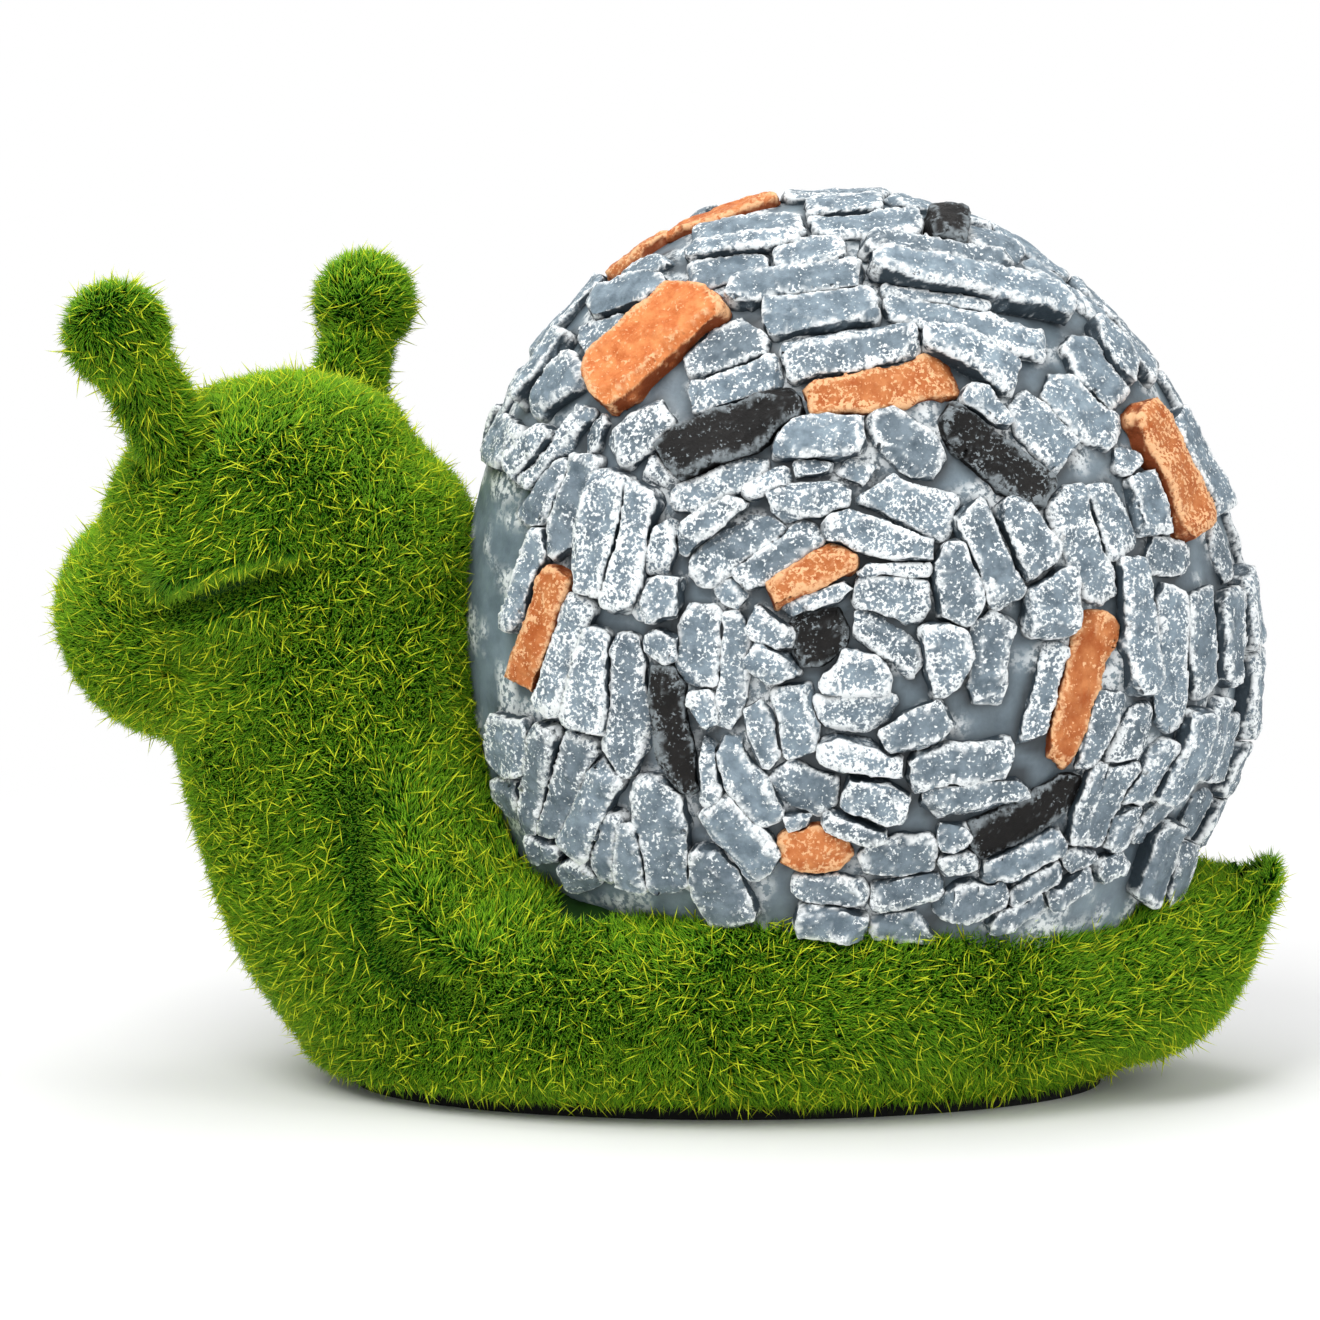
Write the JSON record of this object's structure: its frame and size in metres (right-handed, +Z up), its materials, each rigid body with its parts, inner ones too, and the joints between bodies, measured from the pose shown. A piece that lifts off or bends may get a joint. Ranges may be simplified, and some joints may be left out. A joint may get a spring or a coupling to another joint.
{
  "type": "garden snail figurine",
  "caption": "Garden snail ornament with a green pile-coated body, round-tipped tentacles and a tall round shell faced with slate chips set in grey mortar; stands on a flat base",
  "frame": {"origin": "on the floor under the middle of the snail's length, on the underside of the base pad", "axes": "+Z up, the snail faces -X, the pictured side is -Y"},
  "size_m": [0.3213, 0.144, 0.231],
  "materials": {
    "foam_pad": "matt",
    "casting": "matt",
    "green_pile": "fibrous",
    "mortar": "satin",
    "slate": "rough",
    "terracotta": "rough",
    "black_stone": "rough"
  },
  "bodies": {
    "root": {"base_pad": "foam_pad", "black_chips": "black_stone", "body_casting": "casting", "body_coat": "green_pile", "crown_slate_course": "slate", "far_slate_course_1": "slate", "far_slate_course_2": "slate", "far_slate_course_3": "slate", "far_slate_course_4": "slate", "far_slate_course_5": "slate", "far_slate_course_6": "slate", "far_slate_course_7": "slate", "far_slate_course_8": "slate", "left_tentacle_casting": "casting", "left_tentacle_coat": "green_pile", "mortar_bed": "mortar", "near_slate_course_1": "slate", "near_slate_course_2": "slate", "near_slate_course_3": "slate", "near_slate_course_4": "slate", "near_slate_course_5": "slate", "near_slate_course_6": "slate", "near_slate_course_7": "slate", "near_slate_course_8": "slate", "right_tentacle_casting": "casting", "right_tentacle_coat": "green_pile", "shell_casting": "casting", "terracotta_chips": "terracotta"}
  },
  "joints": []
}
